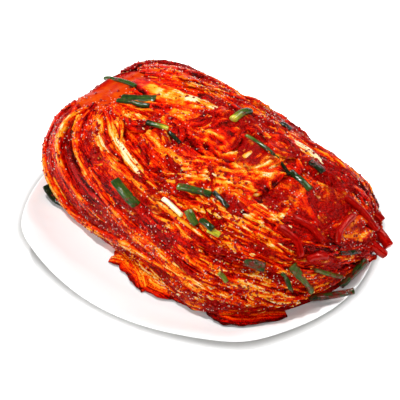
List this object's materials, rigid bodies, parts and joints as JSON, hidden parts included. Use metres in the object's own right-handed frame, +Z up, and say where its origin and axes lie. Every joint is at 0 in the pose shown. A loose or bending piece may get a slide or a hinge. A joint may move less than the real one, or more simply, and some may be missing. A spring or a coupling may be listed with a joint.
{
  "type": "kimchi on a plate",
  "caption": "Half a head of napa cabbage kimchi lying cut side up on a white square plate with bowed sides, with cut spring onion and radish strips pressed into its leaves.",
  "frame": {"origin": "on the surface that the plate stands on, under the middle of the whole", "axes": "+Z up; the head lies along X, with its root end and cut core at -X and its leaf tips at +X; the side that shows best is -Y"},
  "size_m": [0.3018, 0.258, 0.094],
  "materials": {
    "glaze": "smooth clear-glazed white porcelain",
    "cabbage": "wet pickled cabbage leaves coated with chilli paste, orange to deep red, with pale stems",
    "leaf": "wet pickled leaf ends, red",
    "onionGreen": "wet spring onion, green",
    "onionDark": "wet spring onion, dark green",
    "onionYellow": "wet spring onion, yellow-green",
    "onionWhite": "wet spring onion, white end",
    "radish": "wet radish strip dyed red"
  },
  "bodies": {
    "root": {"plate": "glaze", "cabbage_head": "cabbage", "onion_root_stalk": "onionGreen", "onion_dark_leaf": "onionDark", "onion_core_stalk": "onionGreen", "onion_split_tip": "onionYellow", "onion_split_stalk": "onionDark", "onion_wide_leaf": "onionGreen", "onion_middle_green": "onionGreen", "onion_middle_stalk": "onionDark", "onion_white": "onionWhite", "onion_bent_green": "onionYellow", "onion_bent_dark": "onionDark", "onion_yellow_ring": "onionYellow", "onion_under_leaf": "onionDark", "onion_far_ring": "onionYellow", "onion_far_bit": "onionDark", "onion_long_thin": "onionYellow", "onion_long_green": "onionGreen", "onion_far_dark": "onionDark", "onion_chunk": "onionGreen", "onion_flat_green": "onionGreen", "onion_thin_light": "onionGreen", "onion_end_stalk": "onionDark", "onion_over_rim": "onionDark", "onion_end_bit": "onionDark", "onion_low_bit": "onionGreen", "onion_small_ring": "onionYellow", "radish_strip_1": "radish", "radish_strip_2": "radish", "radish_strip_3": "radish", "radish_strip_4": "radish", "radish_strip_5": "radish", "radish_tip_1": "radish", "radish_tip_2": "radish", "radish_tip_3": "radish", "leaf_end_front": "leaf", "leaf_end_left": "leaf"}
  },
  "joints": []
}
